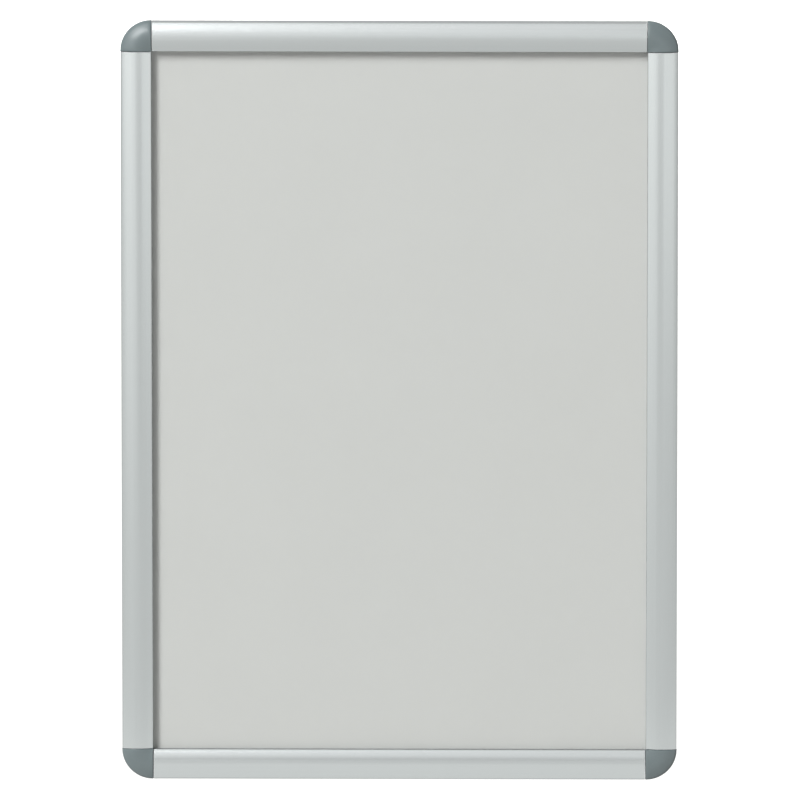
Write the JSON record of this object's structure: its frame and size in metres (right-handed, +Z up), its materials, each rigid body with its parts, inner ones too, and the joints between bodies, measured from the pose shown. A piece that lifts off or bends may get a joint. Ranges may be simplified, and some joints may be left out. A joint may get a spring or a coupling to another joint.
{
  "type": "poster frame",
  "caption": "Slim wall-mounted snap poster frame: four sprung hinged aluminium rails and rounded plastic corner covers round a backing panel and a clear front sheet.",
  "frame": {"origin": "centre of the frame's back, on the wall plane", "axes": "+Z up, +X to the right as the viewer sees the front, -Y out of the wall towards the viewer"},
  "size_m": [0.4504, 0.0123, 0.6244],
  "materials": {
    "rail_aluminium": "satin silver anodised",
    "base_aluminium": "mill finish extrusion",
    "corner_plastic": "moulded grey ABS",
    "bracket_zinc": "die-cast zinc",
    "spring_steel": "bright spring steel strip",
    "screw_steel": "black oxide steel",
    "panel_plastic": "light grey polystyrene sheet",
    "sheet_plastic": "clear anti-glare PVC sheet"
  },
  "bodies": {
    "frame": {"base_profile_top": "base_aluminium", "base_profile_bottom": "base_aluminium", "base_profile_left": "base_aluminium", "base_profile_right": "base_aluminium", "corner_bracket_top_right": "bracket_zinc", "corner_bracket_top_left": "bracket_zinc", "corner_bracket_bottom_left": "bracket_zinc", "corner_bracket_bottom_right": "bracket_zinc", "back_panel": "panel_plastic", "cover_sheet": "sheet_plastic", "lock_screw_top_right_1": "screw_steel", "lock_screw_top_right_2": "screw_steel", "lock_screw_top_left_1": "screw_steel", "lock_screw_top_left_2": "screw_steel", "lock_screw_bottom_left_1": "screw_steel", "lock_screw_bottom_left_2": "screw_steel", "lock_screw_bottom_right_1": "screw_steel", "lock_screw_bottom_right_2": "screw_steel"},
    "rail_top": {"snap_rail_top": "rail_aluminium"},
    "rail_bottom": {"snap_rail_bottom": "rail_aluminium"},
    "rail_left": {"snap_rail_left": "rail_aluminium"},
    "rail_right": {"snap_rail_right": "rail_aluminium"},
    "springs_top": {"leaf_spring_top_1": "spring_steel", "leaf_spring_top_2": "spring_steel"},
    "springs_bottom": {"leaf_spring_bottom_1": "spring_steel", "leaf_spring_bottom_2": "spring_steel"},
    "springs_left": {"leaf_spring_left_1": "spring_steel", "leaf_spring_left_2": "spring_steel", "leaf_spring_left_3": "spring_steel"},
    "springs_right": {"leaf_spring_right_1": "spring_steel", "leaf_spring_right_2": "spring_steel", "leaf_spring_right_3": "spring_steel"},
    "cover_top_right": {"corner_cover_top_right": "corner_plastic"},
    "cover_top_left": {"corner_cover_top_left": "corner_plastic"},
    "cover_bottom_left": {"corner_cover_bottom_left": "corner_plastic"},
    "cover_bottom_right": {"corner_cover_bottom_right": "corner_plastic"}
  },
  "joints": [
    {"name": "rail_top_hinge", "type": "hinge", "parent": "frame", "child": "rail_top", "pos_m": [0, -0.0054, 0.3083], "axis": [-1, 0, 0], "range_deg": [0, 90], "deforming": ["leaf_spring_top_1", "leaf_spring_top_2"]},
    {"name": "rail_bottom_hinge", "type": "hinge", "parent": "frame", "child": "rail_bottom", "pos_m": [0, -0.0054, -0.3083], "axis": [1, 0, 0], "range_deg": [0, 90], "deforming": ["leaf_spring_bottom_1", "leaf_spring_bottom_2"]},
    {"name": "rail_left_hinge", "type": "hinge", "parent": "frame", "child": "rail_left", "pos_m": [-0.2213, -0.0054, 0], "axis": [0, 0, -1], "range_deg": [0, 90], "deforming": ["leaf_spring_left_1", "leaf_spring_left_2", "leaf_spring_left_3"]},
    {"name": "rail_right_hinge", "type": "hinge", "parent": "frame", "child": "rail_right", "pos_m": [0.2213, -0.0054, 0], "axis": [0, 0, 1], "range_deg": [0, 90], "deforming": ["leaf_spring_right_1", "leaf_spring_right_2", "leaf_spring_right_3"]},
    {"name": "springs_top_rock", "type": "hinge", "parent": "frame", "child": "springs_top", "pos_m": [0, -0.0083, 0.29935], "axis": [-1, 0, 0], "range_deg": [-33, 0]},
    {"name": "springs_bottom_rock", "type": "hinge", "parent": "frame", "child": "springs_bottom", "pos_m": [0, -0.0083, -0.29935], "axis": [1, 0, 0], "range_deg": [-33, 0]},
    {"name": "springs_left_rock", "type": "hinge", "parent": "frame", "child": "springs_left", "pos_m": [-0.21235, -0.0083, 0], "axis": [0, 0, -1], "range_deg": [-33, 0]},
    {"name": "springs_right_rock", "type": "hinge", "parent": "frame", "child": "springs_right", "pos_m": [0.21235, -0.0083, 0], "axis": [0, 0, 1], "range_deg": [-33, 0]},
    {"name": "cover_top_right_pull", "type": "slide", "parent": "frame", "child": "cover_top_right", "axis": [0, -1, 0], "range_m": [0, 0.02]},
    {"name": "cover_top_left_pull", "type": "slide", "parent": "frame", "child": "cover_top_left", "axis": [0, -1, 0], "range_m": [0, 0.02]},
    {"name": "cover_bottom_left_pull", "type": "slide", "parent": "frame", "child": "cover_bottom_left", "axis": [0, -1, 0], "range_m": [0, 0.02]},
    {"name": "cover_bottom_right_pull", "type": "slide", "parent": "frame", "child": "cover_bottom_right", "axis": [0, -1, 0], "range_m": [0, 0.02]}
  ],
  "couplings": [
    {"joint": "springs_top_rock", "follows": "rail_top_hinge", "ratio": -0.3607},
    {"joint": "springs_bottom_rock", "follows": "rail_bottom_hinge", "ratio": -0.3607},
    {"joint": "springs_left_rock", "follows": "rail_left_hinge", "ratio": -0.3607},
    {"joint": "springs_right_rock", "follows": "rail_right_hinge", "ratio": -0.3607}
  ]
}
